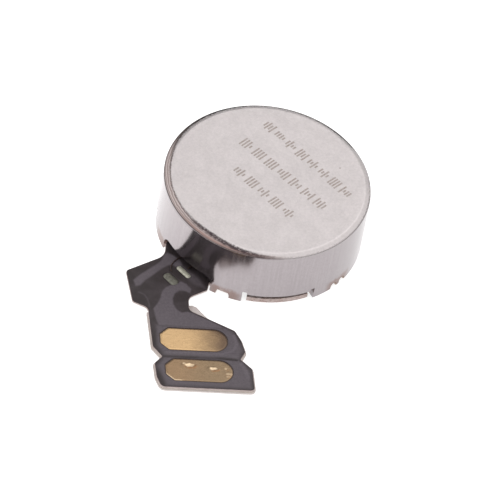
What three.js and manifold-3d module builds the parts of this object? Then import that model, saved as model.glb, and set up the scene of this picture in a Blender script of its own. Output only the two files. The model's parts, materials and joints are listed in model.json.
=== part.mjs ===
// Vibration coin motor, linear resonant type: a weight on a leaf spring moves up and down in a round can.
// Millimetres. The origin is the middle of the base plate's underside, and +Z points up through the can.
// The flex tail leaves the can towards -Y, and the long sides of its contact pads lie along X.
import * as THREE from "three";
import { mergeVertices } from "three/addons/utils/BufferGeometryUtils.js";
import Module from "manifold-3d";

const wasm = await Module();
wasm.setup();

// ---------------------------------------------------------------- driving dimensions
const CAN = { radius: 4.0, height: 2.7, wall: 0.2, innerFillet: 0.08 };
// The can's top edge from the flat outwards, in stretches: a soft crease, a shallow slope and a tighter turn.
const TOP_EDGE = [
  { from: 0, to: 14, steps: 1, step: 0.024 },
  { from: 14, to: 24, steps: 2, step: 0.105 },
  { from: 24, to: 55, steps: 3, step: 0.015 },
  { from: 55, to: 90, steps: 3, step: 0.0128 },
];
const PLATE = { radius: 3.78, thickness: 0.22, tabRadius: 3.89, tabAngle: 36, notchRadius: 3.46, notchAngle: 3 };

// Cut-outs in the can's rim. Angles are in degrees round +Z from +X.
const TAB_ANGLES = [-82.4, 37.6, 157.6];
const RECESS = { angle: 41.5, height: 0.45, reliefAngle: 3, reliefHeight: 0.55 };
const ARCHES = [-114.1, -47.0, -40.2, 5.9, 73.0, 79.8, 125.9];
const ARCH = { wide: 0.27, narrow: 0.17, narrowAngles: [-47.0, -40.2, 73.0, 79.8], rise: 0.09 };
const SLOT = { angle: -141.2, halfWidth: 1.34, height: 0.72, corner: 0.36 };

// Flexible circuit: heights of its layers, and the bend line across its waist. The tail bends upwards about
// its own top edge on that line, so the two halves part as they turn and the gap can be small.
const FLEX = { bottom: 0.25, film: 0.06, coverlay: 0.04 };
const FILM_TOP = FLEX.bottom + FLEX.film;
const FLEX_TOP = FILM_TOP + FLEX.coverlay;
const TONGUE = { left: -1.28, right: 1.24, innerRadius: 2.6, rootStart: 3.0, rootEnd: 3.4, shoulder: 3.72 };
const BOND = { end: 3.6, inset: 0.06 };
const BEND = { y: -4.85, gap: 0.02 };
const TAPE = { adhesive: 0.05, liner: 0.06, margin: 0.05 };

// Contact pads on the tail: eight-sided, with cut corners.
const CONTACT = { length: 2.55, width: 1.07, corner: 0.31, thickness: 0.025, clearance: 0.015 };
const CONTACT_CENTRES = [[-2.885, -6.265], [-2.76, -7.82]];

// Solder pads on the shoulder, placed along the slot's own radial line (u) and across it (v).
const SOLDER_PADS = [
  { u: 4.17, v: 0.26, length: 0.69, width: 0.22 },
  { u: 4.82, v: 0.24, length: 0.66, width: 0.34 },
];
const SOLDER = { padThickness: 0.02, rise: 0.045, cover: 0.86, clearance: 0.01 };

// Coil leads run over the tongue to the solder pads, through points placed by u and v in the same way.
const LEAD = { radius: 0.024, lift: 0.006 };
const LEAD_START = 2.304;
const LEAD_A = [[LEAD_START, 0.2], [2.9, 0.3], [3.6, 0.22], [3.98, 0.26]];
const LEAD_B = [[LEAD_START, -0.2], [3.0, -0.34], [3.9, -0.36], [4.35, -0.26], [4.58, -0.02]];

// Magnetic drive, from the base up. The moving stack hangs from the spring.
const COIL = { inner: 1.62, outer: 2.25, top: 1.3 };
const POLE = { radius: 1.5, bottom: 0.7, top: 0.9 };
const MAGNET = { radius: 1.47, top: 1.75 };
const YOKE = { skirtInner: 2.37, outer: 2.57, bottom: 0.78, top: 1.95 };
const MASS = { inner: 2.58, outer: 3.55, bottom: 0.8, top: 1.85, chamfer: 0.08 };
const SPRING = { thickness: 0.07, hub: 1.15, ringInner: 3.2, ringOuter: 3.66 };
const SPRING_ARMS = { count: 3, width: 0.42, sweep: 245 };
const CLAMP = { radius: 0.75, thickness: 0.06 };
const LOWER_DAMPER = { radius: 1.2, top: 0.38 };
const UPPER_DAMPER = { radius: 0.8, bottom: 2.36 };

const CEILING = CAN.height - CAN.wall;
const ROUND = 108; // sides of the can and the base plate
const SMALL_ROUND = 60; // sides of the round pieces inside
const THROUGH = 1; // how far a cutter reaches past what it cuts

// ---------------------------------------------------------------- materials
function finish(color, roughness, metalness) {
  return new THREE.MeshStandardMaterial({ color, roughness, metalness });
}

const MATERIALS = {
  can: finish(0xc9c2c2, 0.35, 1),
  plate: finish(0xb9aaa2, 0.4, 1),
  film: finish(0x6b4a2a, 0.6, 0),
  coverlay: finish(0x2f2a30, 0.5, 0),
  gold: finish(0xd9b27a, 0.35, 1),
  tin: finish(0x9a9c8e, 0.45, 1),
  adhesive: finish(0xd8d2c4, 0.7, 0),
  liner: finish(0xe9e4dc, 0.5, 0),
  copper: finish(0xb86a3a, 0.4, 1),
  magnet: finish(0xa8a8ac, 0.3, 1),
  steel: finish(0xb0b0b4, 0.4, 1),
  tungsten: finish(0x77777c, 0.55, 1),
  spring: finish(0xc8c4bc, 0.3, 1),
  rubber: finish(0x2b2b2b, 0.9, 0),
};

// ---------------------------------------------------------------- solids and booleans
function toSolid(geometry) {
  const plain = geometry.clone();
  plain.deleteAttribute("normal");
  plain.deleteAttribute("uv");
  const merged = mergeVertices(plain, 1e-4);
  return new wasm.Manifold(new wasm.Mesh({
    numProp: 3,
    vertProperties: new Float32Array(merged.attributes.position.array),
    triVerts: new Uint32Array(merged.index.array),
  }));
}

function toGeometry(solid) {
  const mesh = solid.getMesh();
  const geometry = new THREE.BufferGeometry();
  geometry.setAttribute("position", new THREE.BufferAttribute(mesh.vertProperties, 3));
  geometry.setIndex(new THREE.BufferAttribute(mesh.triVerts, 1));
  geometry.computeVertexNormals();
  return geometry;
}

const cut = (body, cutters) => cutters.reduce((left, c) => left.subtract(toSolid(c)), toSolid(body));
const join = (pieces) => pieces.map(toSolid).reduce((all, piece) => all.add(piece));

// Turns a profile of [radius, z] points round the Z axis.
function turned(profile, sides = SMALL_ROUND) {
  const points = profile.map(([r, z]) => new THREE.Vector2(r, z));
  return new THREE.LatheGeometry(points, sides).rotateX(Math.PI / 2);
}

function disc(radius, z0, z1, sides) {
  return turned([[0, z0], [radius, z0], [radius, z1], [0, z1]], sides);
}

function ring(inner, outer, z0, z1) {
  return turned([[inner, z0], [outer, z0], [outer, z1], [inner, z1], [inner, z0]]);
}

function plate(shape, z0, z1, curveSegments = 8) {
  const options = { depth: z1 - z0, bevelEnabled: false, curveSegments };
  return new THREE.ExtrudeGeometry(shape, options).translate(0, 0, z0);
}

const radians = (degrees) => THREE.MathUtils.degToRad(degrees);

// A block between two radii and two angles, for cuts in the rim and for the base plate's tabs.
function sector(inner, outer, middle, width, z0, z1) {
  const from = radians(middle - width / 2);
  const to = radians(middle + width / 2);
  const shape = new THREE.Shape();
  shape.absarc(0, 0, outer, from, to, false);
  shape.absarc(0, 0, inner, to, from, true);
  shape.closePath();
  return plate(shape, z0, z1, 16);
}

// An outline with rounded corners, from [x, y, radius] points. A corner of radius 0 stays sharp.
function roundedCorners(path, corners) {
  const at = (i) => new THREE.Vector2(...corners[(i + corners.length) % corners.length].slice(0, 2));
  corners.forEach(([, , radius], i) => {
    const here = at(i);
    const back = at(i - 1).sub(here);
    const ahead = at(i + 1).sub(here);
    const half = Math.abs(back.angleTo(ahead)) / 2;
    const longest = 0.48 * Math.min(back.length(), ahead.length());
    const reach = radius === 0 ? 0 : Math.min(radius / Math.tan(half), longest);
    const start = here.clone().addScaledVector(back.normalize(), reach);
    const end = here.clone().addScaledVector(ahead.normalize(), reach);
    if (i === 0) path.moveTo(start.x, start.y);
    else path.lineTo(start.x, start.y);
    if (reach > 0) path.quadraticCurveTo(here.x, here.y, end.x, end.y);
  });
  path.closePath();
  return path;
}

const outline = (corners) => roundedCorners(new THREE.Shape(), corners);

// ---------------------------------------------------------------- can and base plate
function makeCan() {
  const wallInside = CAN.radius - CAN.wall;
  const profile = [
    [0, CEILING],
    [wallInside - CAN.innerFillet, CEILING],
    [wallInside, CEILING - CAN.innerFillet],
    [wallInside, 0],
    [CAN.radius, 0],
  ];
  profile.push(...topEdge().reverse());
  profile.push([0, CAN.height]);

  const past = 0.3;
  const rimCutter = (angle, width, height) => (
    sector(wallInside - past, CAN.radius + past, angle, width, -THROUGH, height)
  );
  const cutters = [];
  for (const angle of TAB_ANGLES) {
    cutters.push(rimCutter(angle, RECESS.angle, RECESS.height));
    for (const side of [-1, 1]) {
      const reliefMiddle = angle + (side * (RECESS.angle - RECESS.reliefAngle)) / 2;
      cutters.push(rimCutter(reliefMiddle, RECESS.reliefAngle, RECESS.reliefHeight));
    }
  }
  for (const angle of ARCHES) {
    const radius = ARCH.narrowAngles.includes(angle) ? ARCH.narrow : ARCH.wide;
    cutters.push(radialCutter(archShape(radius), angle));
  }
  const slot = outline([
    [-SLOT.halfWidth, -THROUGH, 0],
    [SLOT.halfWidth, -THROUGH, 0],
    [SLOT.halfWidth, SLOT.height, SLOT.corner],
    [-SLOT.halfWidth, SLOT.height, SLOT.corner],
  ]);
  cutters.push(radialCutter(slot, SLOT.angle));
  return toGeometry(cut(turned(profile, ROUND), cutters));
}

// Points of the top edge from the flat top out to the wall, as [radius, z].
function topEdge() {
  let [r, z] = [0, CAN.height];
  const points = [[r, z]];
  for (const { from, to, steps, step } of TOP_EDGE) {
    for (let i = 0; i < steps; i++) {
      const slope = radians(from + ((i + 0.5) / steps) * (to - from));
      r += step * Math.cos(slope);
      z -= step * Math.sin(slope);
      points.push([r, z]);
    }
  }
  return points.map(([radius, height]) => [CAN.radius - r + radius, height]);
}

function archShape(radius) {
  const shape = new THREE.Shape();
  shape.moveTo(radius, -THROUGH);
  shape.lineTo(radius, ARCH.rise);
  shape.absarc(0, ARCH.rise, radius, 0, Math.PI, false);
  shape.lineTo(-radius, -THROUGH);
  shape.closePath();
  return shape;
}

// Pushes a shape, drawn with its own Y up, through the can's wall along a radius.
function radialCutter(shape, angle) {
  const past = 0.6;
  const depth = CAN.wall + 2 * past;
  const cutter = new THREE.ExtrudeGeometry(shape, { depth, bevelEnabled: false, curveSegments: 10 });
  cutter.rotateX(Math.PI / 2); // shape's Y becomes +Z, and the depth runs along -Y
  cutter.translate(0, CAN.radius + past, 0);
  return cutter.rotateZ(radians(angle - 90));
}

function makeBasePlate() {
  const pieces = [disc(PLATE.radius, 0, PLATE.thickness, ROUND)];
  for (const angle of TAB_ANGLES) {
    pieces.push(sector(PLATE.radius - 0.5, PLATE.tabRadius, angle, PLATE.tabAngle, 0, PLATE.thickness));
  }
  // a notch on each side of each tab, taking a hair off the tab's end
  const notches = [];
  const toNotch = (PLATE.tabAngle + PLATE.notchAngle) / 2 - 0.1;
  for (const angle of TAB_ANGLES) {
    for (const side of [-1, 1]) {
      const middle = angle + side * toNotch;
      notches.push(sector(PLATE.notchRadius, CAN.radius, middle, PLATE.notchAngle, -THROUGH, THROUGH));
    }
  }
  return toGeometry(notches.reduce((left, notch) => left.subtract(toSolid(notch)), join(pieces)));
}

// ---------------------------------------------------------------- flexible circuit
const SLOT_RADIAL = new THREE.Vector2(Math.cos(radians(SLOT.angle)), Math.sin(radians(SLOT.angle)));
const SLOT_ACROSS = new THREE.Vector2(-SLOT_RADIAL.y, SLOT_RADIAL.x);

// A point u along the slot's radial line and v across it.
function bySlot(u, v) {
  return SLOT_RADIAL.clone().multiplyScalar(u).addScaledVector(SLOT_ACROSS, v);
}

// The tongue reaches through the slot to an arc that clears the coil.
function tongue(outerU, inset = 0) {
  const left = TONGUE.left + inset;
  const right = TONGUE.right - inset;
  const radius = TONGUE.innerRadius + inset;
  const innerAngle = (v) => radians(SLOT.angle) + Math.asin(v / radius);
  const shape = new THREE.Shape();
  const leftEnd = bySlot(outerU, left);
  const rightEnd = bySlot(outerU, right);
  shape.moveTo(leftEnd.x, leftEnd.y);
  shape.lineTo(radius * Math.cos(innerAngle(left)), radius * Math.sin(innerAngle(left)));
  shape.absarc(0, 0, radius, innerAngle(left), innerAngle(right), false);
  shape.lineTo(rightEnd.x, rightEnd.y);
  return shape;
}

// Corners of the flex outside the can: [x, y, radius].
const SHOULDER_LEFT = [[-3.78, -2.0, 0.8], [-5.33, -2.86, 0.22], [-5.15, -4.44, 0.18], [-4.58, -4.72, 0.25]];
const SHOULDER_RIGHT = [[-2.97, -4.76, 0.3], [-2.97, -4.1, 0.4], [-2.22, -3.68, 0.1]];
const TAIL_LEFT = [
  [-4.49, -6.68, 0.2],
  [-4.15, -7.17, 0.08],
  [-4.46, -7.52, 0.15],
  [-4.42, -8.2, 0.6],
  [-4.26, -8.71, 0.25],
];
const TAIL_RIGHT = [
  [-0.66, -8.71, 0.18],
  [-0.7, -7.62, 0.12],
  [-1.12, -7.15, 0.06],
  [-0.92, -6.76, 0.12],
  [-1.04, -6.2, 0.4],
  [-1.27, -5.7, 0.25],
];

function shoulderShape() {
  const tongueStart = bySlot(TONGUE.shoulder, TONGUE.left);
  const tongueEnd = bySlot(TONGUE.shoulder, TONGUE.right);
  const insideLeft = bySlot(TONGUE.rootStart, TONGUE.left);
  const insideRight = bySlot(TONGUE.rootStart, TONGUE.right);
  return outline([
    [insideLeft.x, insideLeft.y, 0],
    [tongueStart.x, tongueStart.y, 0],
    ...SHOULDER_LEFT,
    TAIL_LEFT[0],
    TAIL_RIGHT[TAIL_RIGHT.length - 1],
    ...SHOULDER_RIGHT,
    [tongueEnd.x, tongueEnd.y, 0],
    [insideRight.x, insideRight.y, 0],
  ]);
}

function tailShape() {
  const lastLeft = SHOULDER_LEFT[SHOULDER_LEFT.length - 1];
  return outline([lastLeft, ...TAIL_LEFT, ...TAIL_RIGHT, SHOULDER_RIGHT[0]]);
}

const ROOT_SIDE = 1; // the +Y side of the bend line
const TAIL_SIDE = -1;

// Keeps the part of a layer on one side of the bend line, and cuts windows through it.
function layerOn(side, solid, windows = []) {
  const size = 20;
  const block = new THREE.BoxGeometry(size, size, size);
  block.translate(0, BEND.y + side * (BEND.gap / 2 + size / 2), 0);
  const kept = solid.intersect(toSolid(block));
  return toGeometry(windows.reduce((left, window) => left.subtract(toSolid(window)), kept));
}

function makeRootLayer(z0, z1, windows) {
  const pieces = [plate(shoulderShape(), z0, z1), plate(tongue(TONGUE.rootEnd), z0, z1)];
  return layerOn(ROOT_SIDE, join(pieces), windows);
}

function makeTailLayer(z0, z1, windows) {
  return layerOn(TAIL_SIDE, toSolid(plate(tailShape(), z0, z1)), windows);
}

function contactShape([x, y], grow = 0) {
  const halfLength = CONTACT.length / 2 + grow;
  const halfWidth = CONTACT.width / 2 + grow;
  const corner = CONTACT.corner + grow * (2 - Math.SQRT2); // keeps the cut corner's edge parallel
  const shape = new THREE.Shape();
  const corners = [
    [halfLength - corner, -halfWidth], [halfLength, corner - halfWidth],
    [halfLength, halfWidth - corner], [halfLength - corner, halfWidth],
    [corner - halfLength, halfWidth], [-halfLength, halfWidth - corner],
    [-halfLength, corner - halfWidth], [corner - halfLength, -halfWidth],
  ];
  shape.setFromPoints(corners.map(([dx, dy]) => new THREE.Vector2(x + dx, y + dy)));
  return shape;
}

function solderPadShape(pad, grow = 0) {
  const halfLength = pad.length / 2 + grow;
  const halfWidth = pad.width / 2 + grow;
  const round = halfWidth;
  const centre = bySlot(pad.u, pad.v);
  const at = (along, across) => {
    const p = SLOT_ACROSS.clone().multiplyScalar(along).addScaledVector(SLOT_RADIAL, -across).add(centre);
    return [p.x, p.y, round];
  };
  return outline([
    at(-halfLength, -halfWidth),
    at(halfLength, -halfWidth),
    at(halfLength, halfWidth),
    at(-halfLength, halfWidth),
  ]);
}

// A shallow dome of solder with an oval foot.
function makeSolderJoint(pad) {
  const steps = 5;
  const profile = [[0, 0]];
  for (let i = 0; i <= steps; i++) {
    const turn = (i / steps) * (Math.PI / 2);
    profile.push([Math.cos(turn), Math.sin(turn)]);
  }
  profile[profile.length - 1][0] = 0;
  const centre = bySlot(pad.u, pad.v);
  const foot = FILM_TOP + SOLDER.padThickness;
  const dome = turned(profile, 24);
  dome.scale((SOLDER.cover * pad.width) / 2, (SOLDER.cover * pad.length) / 2, SOLDER.rise);
  return dome.rotateZ(radians(SLOT.angle)).translate(centre.x, centre.y, foot);
}

// A coil lead: a round wire that lies on the flex, through points given along and across the slot.
function makeLead(points) {
  const height = FLEX_TOP + LEAD.lift + LEAD.radius;
  const path = new THREE.CatmullRomCurve3(points.map(([u, v]) => {
    const p = bySlot(u, v);
    return new THREE.Vector3(p.x, p.y, height);
  }));
  const section = new THREE.Shape();
  section.absarc(0, 0, LEAD.radius, 0, 2 * Math.PI, false);
  const options = { steps: 14, curveSegments: 6, bevelEnabled: false, extrudePath: path };
  return new THREE.ExtrudeGeometry(section, options);
}

// A layer under the tail that reaches past its outline by the margin.
function makeTape(z0, z1, margin) {
  const shape = new THREE.Shape(offsetOutline(tailShape().getPoints(6), margin));
  return layerOn(TAIL_SIDE, toSolid(plate(shape, z0, z1)));
}

// Moves each edge of a closed outline outwards by the margin, and joins the moved edges again.
function offsetOutline(points, margin) {
  const loop = points.filter((p, i) => p.distanceTo(points[(i + 1) % points.length]) > 1e-3);
  const turn = Math.sign(THREE.ShapeUtils.area(loop));
  return loop.map((here, i) => {
    const before = loop[(i - 1 + loop.length) % loop.length];
    const after = loop[(i + 1) % loop.length];
    const outwards = (a, b) => new THREE.Vector2(b.y - a.y, a.x - b.x).normalize().multiplyScalar(turn);
    const n1 = outwards(before, here);
    const n2 = outwards(here, after);
    const middle = n1.clone().add(n2).normalize();
    return here.clone().addScaledVector(middle, margin / Math.max(0.6, middle.dot(n1)));
  });
}

// ---------------------------------------------------------------- moving stack and spring
function makeYoke() {
  return turned([
    [0, MAGNET.top],
    [YOKE.skirtInner, MAGNET.top],
    [YOKE.skirtInner, YOKE.bottom],
    [YOKE.outer, YOKE.bottom],
    [YOKE.outer, YOKE.top],
    [0, YOKE.top],
  ]);
}

function makeMassRing() {
  const { inner, outer, bottom, top, chamfer } = MASS;
  return turned([
    [inner, bottom],
    [outer - chamfer, bottom],
    [outer, bottom + chamfer],
    [outer, top - chamfer],
    [outer - chamfer, top],
    [inner, top],
    [inner, bottom],
  ]);
}

// Height of the spring's underside at a radius: flat at the hub and the rim, and climbing along the arms.
function springHeight(radius) {
  const climb = THREE.MathUtils.smoothstep(radius, SPRING.hub, SPRING.ringInner);
  return THREE.MathUtils.lerp(YOKE.top, CEILING - SPRING.thickness, climb);
}

// The opening between one spiral arm and the next, from the hub out to the rim.
function springOpening(startAngle) {
  const steps = 44;
  const { count, width, sweep } = SPRING_ARMS;
  const spread = SPRING.ringInner - SPRING.hub;
  const armStart = width / 2 / spread;
  const pitch = 360 / count;
  const from = startAngle + armStart * sweep;
  const to = startAngle + pitch + (1 - armStart) * sweep;
  const inside = [];
  const outside = [];
  for (let i = 0; i <= steps; i++) {
    const angle = THREE.MathUtils.lerp(from, to, i / steps);
    const armMiddle = (start) => SPRING.hub + (spread * (angle - start)) / sweep;
    const low = Math.max(SPRING.hub, armMiddle(startAngle + pitch) + width / 2);
    const high = Math.min(SPRING.ringInner, armMiddle(startAngle) - width / 2);
    const point = (r) => new THREE.Vector2(r * Math.cos(radians(angle)), r * Math.sin(radians(angle)));
    inside.push(point(low));
    if (i > 0 && i < steps) outside.unshift(point(high));
  }
  return new THREE.Path([...inside, ...outside]);
}

// A stamped disc with spiral openings, raised at its rim so that its arms climb from the hub.
function makeSpring() {
  const shape = new THREE.Shape();
  shape.absarc(0, 0, SPRING.ringOuter, 0, 2 * Math.PI, false);
  for (let i = 0; i < SPRING_ARMS.count; i++) {
    shape.holes.push(springOpening((360 / SPRING_ARMS.count) * i));
  }
  const geometry = plate(shape, 0, SPRING.thickness, SMALL_ROUND);
  const position = geometry.attributes.position;
  for (let i = 0; i < position.count; i++) {
    const radius = Math.hypot(position.getX(i), position.getY(i));
    position.setZ(i, position.getZ(i) + springHeight(radius));
  }
  return geometry;
}

// ---------------------------------------------------------------- assembly
const motor = new THREE.Group();

function add(name, geometry, material) {
  const mesh = new THREE.Mesh(geometry, material);
  mesh.name = name;
  motor.add(mesh);
}

add("can", makeCan(), MATERIALS.can);
add("base_plate", makeBasePlate(), MATERIALS.plate);

const solderWindows = SOLDER_PADS.map((pad) => plate(solderPadShape(pad, SOLDER.clearance), 0, 1));
const contactWindows = CONTACT_CENTRES.map((centre) => plate(contactShape(centre, CONTACT.clearance), 0, 1));
const bondShape = tongue(BOND.end, BOND.inset);
add("flex_bond", plate(bondShape, PLATE.thickness, FLEX.bottom), MATERIALS.adhesive);
add("flex_root_film", makeRootLayer(FLEX.bottom, FILM_TOP, []), MATERIALS.film);
add("flex_root_coverlay", makeRootLayer(FILM_TOP, FLEX_TOP, solderWindows), MATERIALS.coverlay);

["inner", "outer"].forEach((place, i) => {
  const pad = SOLDER_PADS[i];
  const padTop = FILM_TOP + SOLDER.padThickness;
  add(`solder_pad_${place}`, plate(solderPadShape(pad), FILM_TOP, padTop), MATERIALS.tin);
  add(`solder_joint_${place}`, makeSolderJoint(pad), MATERIALS.tin);
});

add("coil_lead_a", makeLead(LEAD_A), MATERIALS.copper);
add("coil_lead_b", makeLead(LEAD_B), MATERIALS.copper);
add("voice_coil", ring(COIL.inner, COIL.outer, PLATE.thickness, COIL.top), MATERIALS.copper);
add("lower_damper", disc(LOWER_DAMPER.radius, PLATE.thickness, LOWER_DAMPER.top), MATERIALS.rubber);
add("upper_damper", disc(UPPER_DAMPER.radius, UPPER_DAMPER.bottom, CEILING), MATERIALS.rubber);

add("yoke", makeYoke(), MATERIALS.steel);
add("magnet", disc(MAGNET.radius, POLE.top, MAGNET.top), MATERIALS.magnet);
add("pole_plate", disc(POLE.radius, POLE.bottom, POLE.top), MATERIALS.steel);
add("mass_ring", makeMassRing(), MATERIALS.tungsten);
const hubTop = YOKE.top + SPRING.thickness;
add("spring_clamp", disc(CLAMP.radius, hubTop, hubTop + CLAMP.thickness), MATERIALS.steel);
add("leaf_spring", makeSpring(), MATERIALS.spring);

add("tail_film", makeTailLayer(FLEX.bottom, FILM_TOP, []), MATERIALS.film);
add("tail_coverlay", makeTailLayer(FILM_TOP, FLEX_TOP, contactWindows), MATERIALS.coverlay);
["a", "b"].forEach((letter, i) => {
  const pad = plate(contactShape(CONTACT_CENTRES[i]), FILM_TOP, FILM_TOP + CONTACT.thickness);
  add(`contact_pad_${letter}`, pad, MATERIALS.gold);
});
const adhesiveBottom = FLEX.bottom - TAPE.adhesive;
add("tail_adhesive", makeTape(adhesiveBottom, FLEX.bottom, 0), MATERIALS.adhesive);
add("tail_liner", makeTape(adhesiveBottom - TAPE.liner, adhesiveBottom, TAPE.margin), MATERIALS.liner);

export default motor;
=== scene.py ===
"""Coin vibration motor with a flexible circuit tail, on a white table.

Shapes are drawn in millimetres, in the part's own frame, and scaled to metres when a mesh is made.
"""

import json
import random
from math import atan2, cos, degrees, pi, radians, sin, sqrt

import bmesh
import bpy
import numpy as np
from mathutils import Matrix, Vector, noise
from mathutils.geometry import delaunay_2d_cdt


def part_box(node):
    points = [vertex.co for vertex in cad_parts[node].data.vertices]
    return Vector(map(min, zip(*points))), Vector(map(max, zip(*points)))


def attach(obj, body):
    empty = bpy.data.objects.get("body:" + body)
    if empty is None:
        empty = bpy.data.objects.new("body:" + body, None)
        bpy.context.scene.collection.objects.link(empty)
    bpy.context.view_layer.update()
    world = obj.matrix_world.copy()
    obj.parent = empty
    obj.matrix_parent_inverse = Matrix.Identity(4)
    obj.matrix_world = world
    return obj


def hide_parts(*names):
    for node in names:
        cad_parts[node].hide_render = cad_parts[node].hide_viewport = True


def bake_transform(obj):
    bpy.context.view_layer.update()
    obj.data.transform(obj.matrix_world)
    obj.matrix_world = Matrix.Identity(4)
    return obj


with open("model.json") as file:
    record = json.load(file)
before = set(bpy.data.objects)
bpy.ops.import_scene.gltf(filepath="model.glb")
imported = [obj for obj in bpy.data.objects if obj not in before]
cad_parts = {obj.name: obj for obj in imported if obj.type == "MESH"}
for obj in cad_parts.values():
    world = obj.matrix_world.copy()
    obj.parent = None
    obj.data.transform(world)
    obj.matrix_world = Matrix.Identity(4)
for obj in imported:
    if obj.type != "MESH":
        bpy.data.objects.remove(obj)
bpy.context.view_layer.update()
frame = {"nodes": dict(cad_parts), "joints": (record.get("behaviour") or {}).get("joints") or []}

MM = 0.001


def box_mm(node):
    low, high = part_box(node)
    return low / MM, high / MM


def heading(angle):
    """The level direction at an angle in degrees round the can."""
    return Vector((cos(radians(angle)), sin(radians(angle)), 0))


# ---------- sizes read from the frame, in mm
CAN_LOW, CAN_HIGH = box_mm("can")
CAN_RADIUS = (CAN_HIGH.x - CAN_LOW.x) / 2
CAN_HEIGHT = CAN_HIGH.z
PLATE_TOP = box_mm("base_plate")[1].z
FILM_BOTTOM = box_mm("flex_root_film")[0].z
FILM_TOP = box_mm("flex_root_film")[1].z
FLEX_TOP = box_mm("flex_root_coverlay")[1].z
PAD_TOP = box_mm("contact_pad_a")[1].z
HINGE = next(j for j in frame["joints"] if j["name"] == "tail_bend")
HINGE_Y = HINGE["pos_m"][1] / MM

# ---------- the can's own shape, in mm and degrees
WALL = 0.2
TAB_ANGLES = (-82.4, 37.6, 157.6)
RECESS_WIDTH = 41.5
RECESS_HEIGHT = 0.45
RELIEF_WIDTH = 2.5
RELIEF_HEIGHT = 0.55
# arches in the rim, as angle round the can and radius
ARCHES = ((-114.1, 0.27), (5.9, 0.27), (125.9, 0.27),
          (-47.0, 0.17), (-40.2, 0.17), (73.0, 0.17), (79.8, 0.17))
ARCH_RISE = 0.09
ARCH_REACH = 4.5
SLOT_ANGLE = -141.2
SLOT_HALF_WIDTH = 1.34
SLOT_HEIGHT = 0.72
SLOT_CORNER = 0.36

# ---------- camera, turned from the part's axes
CAMERA_TURN = radians(11.6)
CAMERA_ELEVATION = radians(46.891)
CAMERA_ROLL = radians(11.323)
CAMERA_DISTANCE = 400.0
FRAME_SIDE = 500
PIXELS_PER_MM = 26.006
OFF_CENTRE = (8.328, -22.679)
SENSOR = 36.0


# ---------- node helpers
class Nodes:
    """Short calls for procedural nodes in one tree."""

    def __init__(self, tree):
        self.tree = tree

    def feed(self, socket, value):
        if isinstance(value, bpy.types.NodeSocket):
            self.tree.links.new(value, socket)
        else:
            socket.default_value = value

    def node(self, kind, *values, settings=(), **named):
        """A new node, its settings made, then its inputs fed in order and by name."""
        node = self.tree.nodes.new(f"ShaderNode{kind}")
        for setting, value in settings:
            setattr(node, setting, value)
        for socket, value in zip(node.inputs, values):
            self.feed(socket, value)
        for name, value in named.items():
            self.feed(node.inputs[name], value)
        return node

    def math(self, operation, *values):
        return self.node("Math", *values, settings=[("operation", operation)]).outputs["Value"]

    def plus(self, first, second):
        return self.math("ADD", first, second)

    def minus(self, first, second):
        return self.math("SUBTRACT", first, second)

    def times(self, first, second):
        return self.math("MULTIPLY", first, second)

    def split(self, vector):
        return self.node("SeparateXYZ", vector).outputs

    def spread(self, value, low, high, to_low=0.0, to_high=1.0):
        """Low to high becomes to_low to to_high, with soft ends."""
        settings = [("interpolation_type", "SMOOTHSTEP")]
        return self.node("MapRange", value, low, high, to_low, to_high, settings=settings).outputs["Result"]


class Material(Nodes):
    """A Principled material in millimetres of the part's frame."""

    def __init__(self, name, colour, roughness, metallic=0.0):
        self.material = bpy.data.materials.new(name)
        self.material.use_nodes = True
        super().__init__(self.material.node_tree)
        self.shader = self.tree.nodes["Principled BSDF"]
        self.set("Base Color", (*colour, 1.0))
        self.set("Roughness", roughness)
        self.set("Metallic", metallic)
        place = self.node("TexCoord").outputs["Object"]
        self.place = self.vector_math("SCALE", place, Scale=1 / MM).outputs["Vector"]

    def set(self, socket, value):
        self.feed(self.shader.inputs[socket], value)

    def vector_math(self, operation, *values, **named):
        return self.node("VectorMath", *values, settings=[("operation", operation)], **named)

    def length(self, vector):
        return self.vector_math("LENGTH", vector).outputs["Value"]

    def dot(self, vector, direction):
        return self.vector_math("DOT_PRODUCT", vector, tuple(direction)).outputs["Value"]

    def stretch(self, *factors):
        return self.vector_math("MULTIPLY", self.place, factors).outputs["Vector"]

    def flat(self):
        return self.stretch(1.0, 1.0, 0.0)

    def noise(self, scale, detail=2.0, roughness=0.5, vector=None):
        place = vector or self.place
        return self.node("TexNoise", Vector=place, Scale=scale, Detail=detail, Roughness=roughness).outputs["Fac"]

    def cells(self, scale):
        return self.node("TexVoronoi", Vector=self.place, Scale=scale).outputs["Distance"]

    def attribute(self, name):
        return self.node("Attribute", settings=[("attribute_name", name)]).outputs["Fac"]

    def mix(self, share, first, second):
        node = self.node("Mix", Factor=share, settings=[("data_type", "RGBA")])
        sockets = [s for s in node.inputs if s.type == "RGBA"]
        for socket, value in zip(sockets, (first, second)):
            self.feed(socket, value if isinstance(value, bpy.types.NodeSocket) else (*value, 1.0))
        return next(s for s in node.outputs if s.type == "RGBA")

    def colour(self, share, first, second):
        self.set("Base Color", self.mix(share, first, second))

    def bump(self, height, depth, strength):
        """Relief from a height of 0 to 1 that stands for a depth in mm."""
        node = self.node("Bump", Strength=strength, Distance=depth * MM, Height=height)
        self.set("Normal", node.outputs["Normal"])


# ---------- the can's top edge
# stretches of the edge: slope at its start and end in degrees, number of steps, length of each step
EDGE_STRETCHES = ((0, 14, 4, 0.006), (14, 24, 7, 0.030), (24, 55, 5, 0.009), (55, 90, 7, 0.0055))


def edge_profile():
    """The can's top edge as (radius, z): a soft crease, a shallow slope, a tight turn into the wall."""
    radius, z = 0.0, CAN_HEIGHT
    points = [(radius, z)]
    for start, end, count, length in EDGE_STRETCHES:
        for k in range(count):
            turn = radians(start + (k + 0.5) * ((end - start) / count))
            radius += length * cos(turn)
            z -= length * sin(turn)
            points.append((radius, z))
    return [(r + CAN_RADIUS - radius, height) for r, height in points]


EDGE_START = edge_profile()[0][0]

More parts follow.
